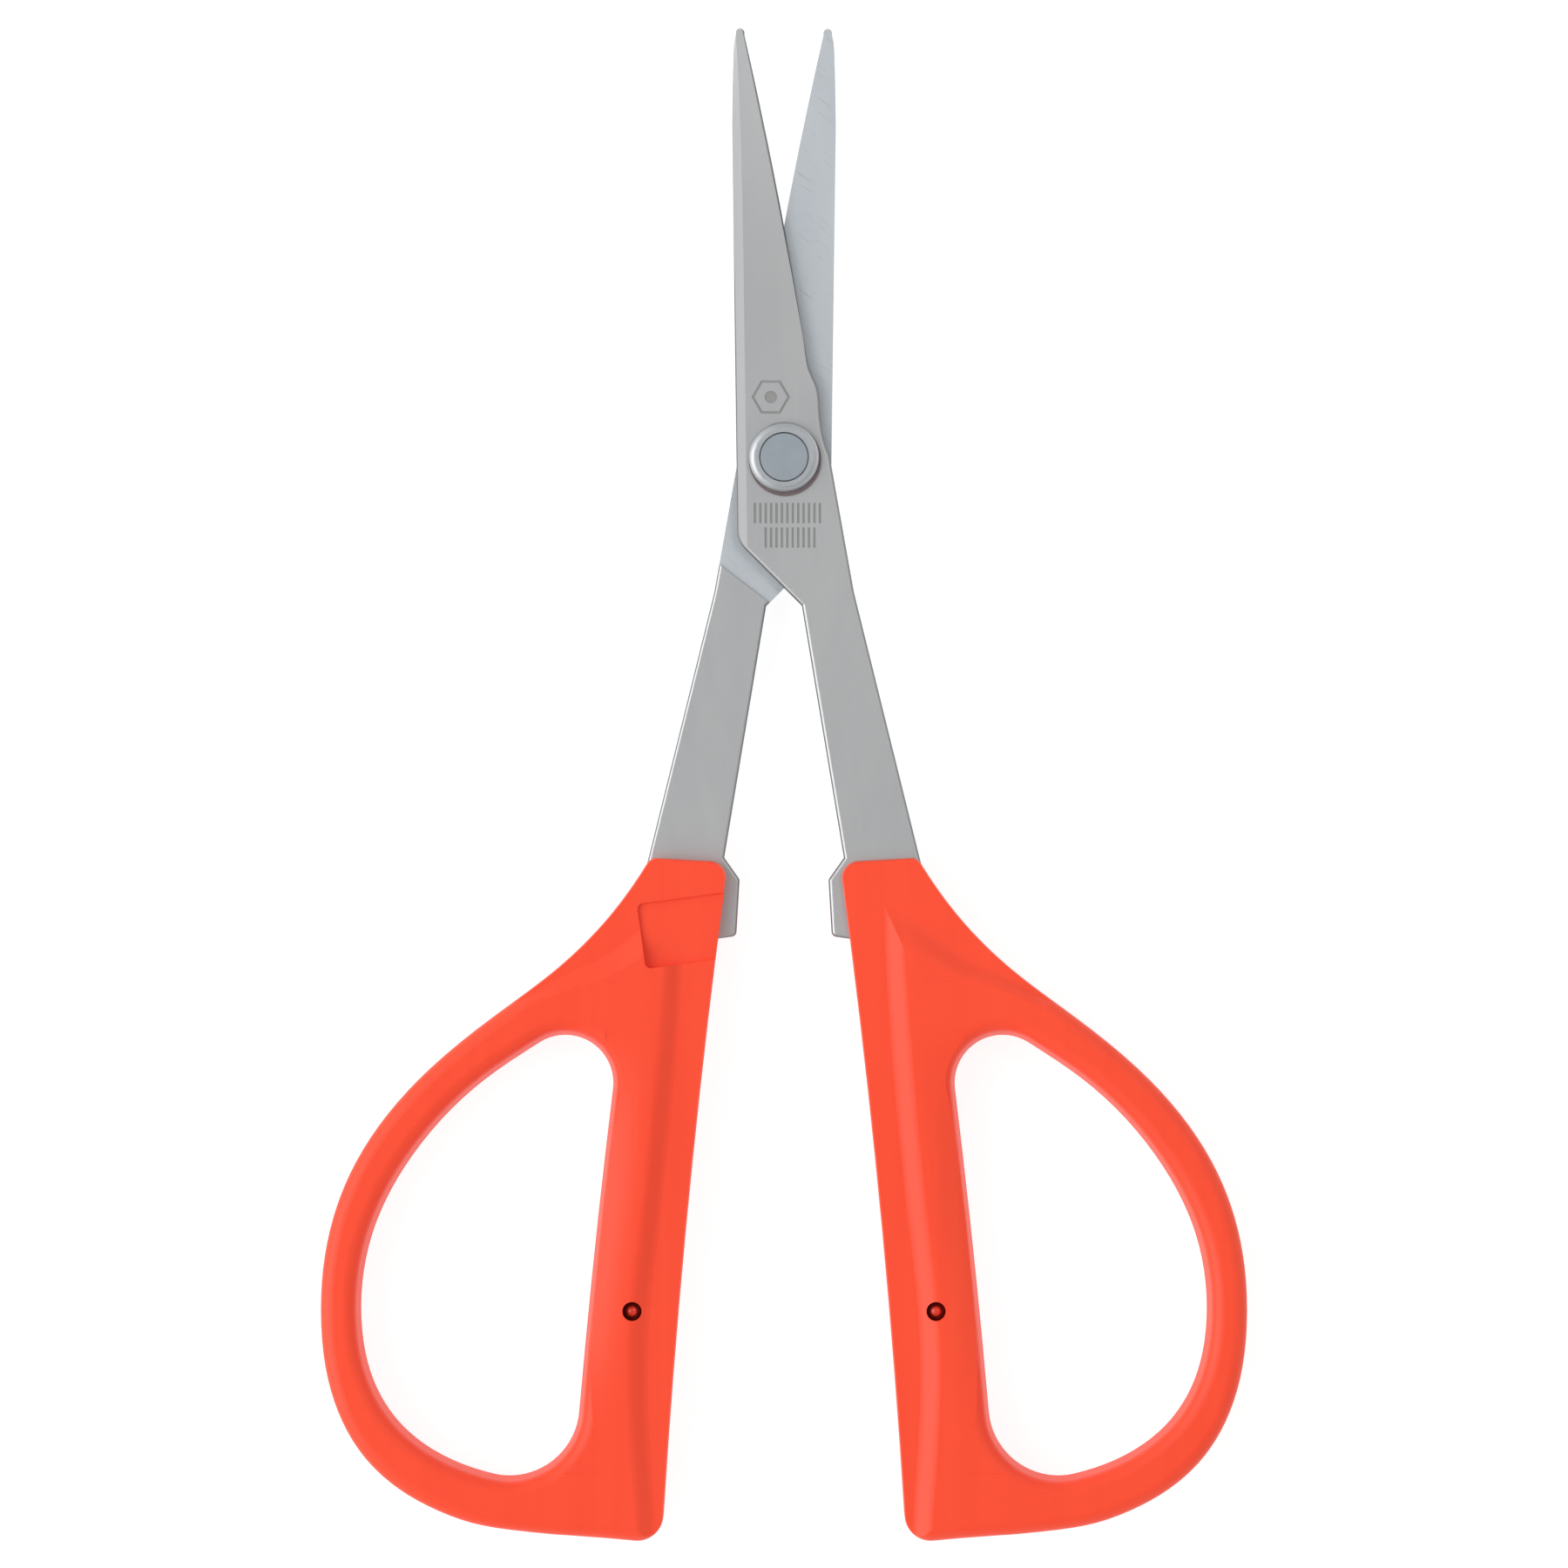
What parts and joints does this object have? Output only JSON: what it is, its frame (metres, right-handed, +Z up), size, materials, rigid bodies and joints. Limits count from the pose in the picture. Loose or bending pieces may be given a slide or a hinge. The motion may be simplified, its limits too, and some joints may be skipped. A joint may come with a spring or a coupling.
{
  "type": "fabric shears",
  "caption": "Slim fabric shears: straight pointed steel blades on long tangs, a flat riveted pivot, and moulded D-shaped loop handles, lying half open.",
  "frame": {"origin": "middle of the footprint of the half-open shears, on the plane they lie on", "axes": "+Y towards the blade tips, +X towards the front blade's handle, +Z up, out of the front face"},
  "size_m": [0.1062, 0.1734, 0.0084],
  "materials": {
    "blade_steel": "satin ground, neutral grey outside, finer and slightly blue on the inner faces",
    "pivot_steel": "satin turned, brighter rims",
    "bronze": "dull brown bronze",
    "handle_plastic": "red-orange moulded plastic with a soft sheen",
    "peg_plastic": "deep red, shiny dome"
  },
  "bodies": {
    "front_half": {"front_blade": "blade_steel", "right_handle": "handle_plastic", "right_handle_peg": "peg_plastic", "front_friction_washer": "bronze"},
    "rear_half": {"rear_blade": "blade_steel", "left_handle": "handle_plastic", "left_handle_peg": "peg_plastic", "pivot_rivet": "pivot_steel", "front_cup_washer": "pivot_steel", "rear_cup_washer": "pivot_steel"}
  },
  "joints": [
    {"name": "blade_pivot", "type": "hinge", "parent": "front_half", "child": "rear_half", "pos_m": [0, 0.03744, 0.0042], "axis": [0, 0, -1], "range_deg": [-11.3, 120]}
  ]
}
